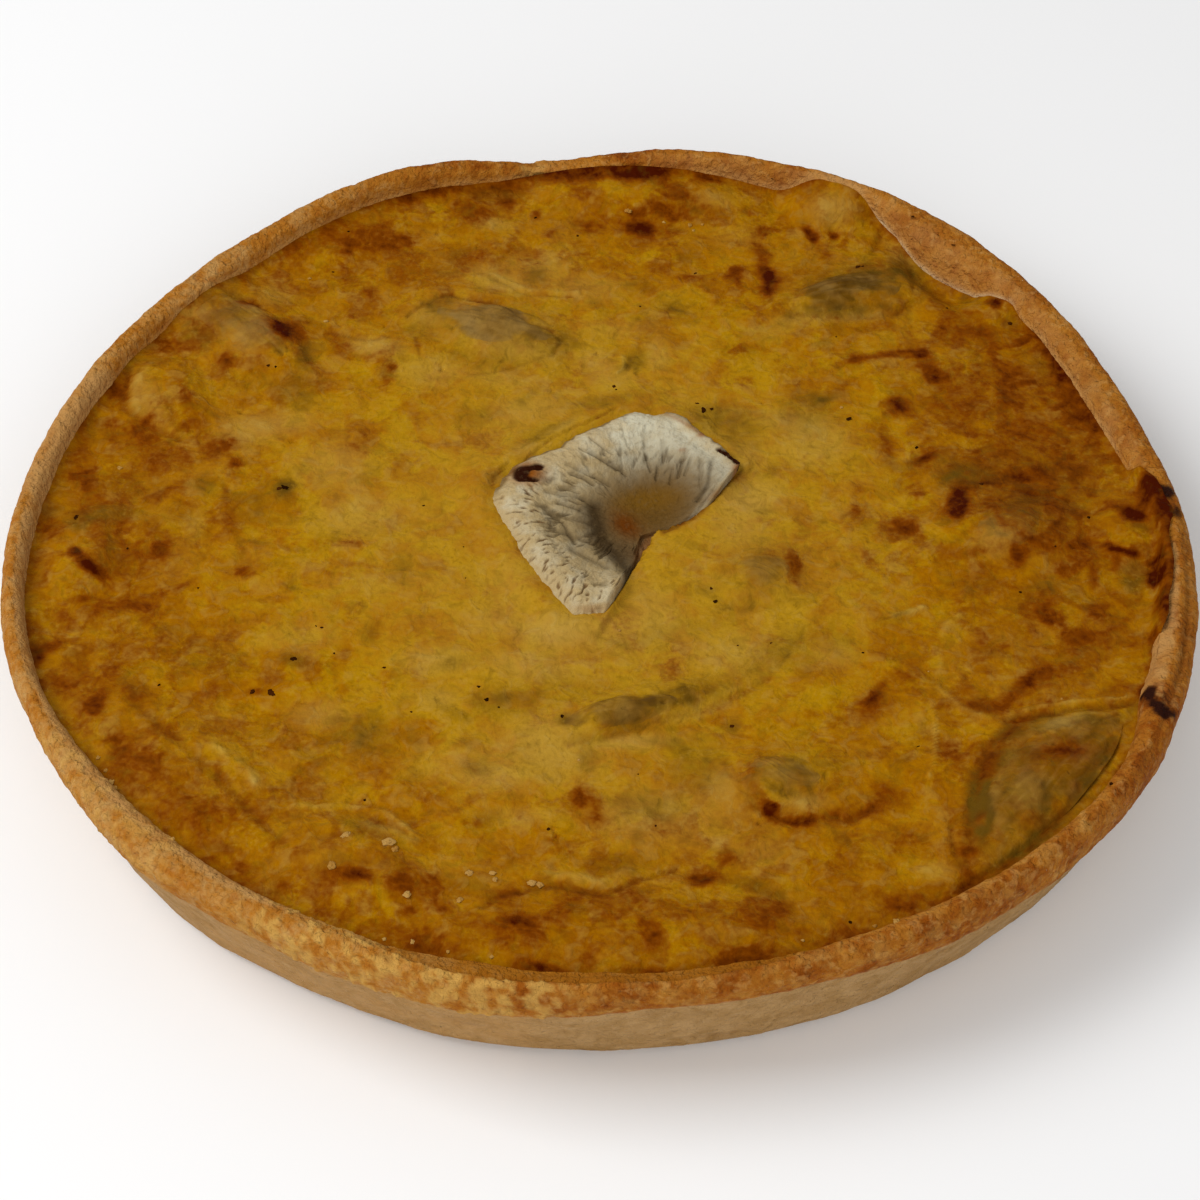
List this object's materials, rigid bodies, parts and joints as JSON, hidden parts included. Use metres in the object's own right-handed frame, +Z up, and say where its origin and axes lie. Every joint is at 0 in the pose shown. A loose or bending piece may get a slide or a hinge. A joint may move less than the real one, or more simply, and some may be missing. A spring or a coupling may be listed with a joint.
{
  "type": "artichoke pie",
  "caption": "Round open savoury pie: a shortcrust case with a browned lip, a baked custard filling, and pieces of artichoke that show in its top.",
  "frame": {"origin": "on the surface that the pie stands on, under the middle of its outline", "axes": "+Z up out of the open top, -Y towards the front as the picture shows it, +X to the right"},
  "size_m": [0.2402, 0.2362, 0.0316],
  "materials": {
    "crust": "baked shortcrust, matt, golden brown lip over a pale wall",
    "filling": "baked custard and cheese, slightly moist, yellow with brown patches",
    "artichoke_flesh": "cooked artichoke flesh, moist, grey white",
    "artichoke_leaf": "cooked artichoke leaf, moist, olive brown"
  },
  "bodies": {
    "root": {"crust": "crust", "filling": "filling", "artichoke_heart": "artichoke_flesh", "artichoke_back_left": "artichoke_leaf", "artichoke_back_right": "artichoke_leaf", "artichoke_left": "artichoke_leaf", "artichoke_right": "artichoke_leaf", "artichoke_front_right": "artichoke_leaf", "artichoke_front": "artichoke_leaf", "artichoke_centre_right": "artichoke_leaf", "artichoke_front_centre": "artichoke_leaf"}
  },
  "joints": []
}
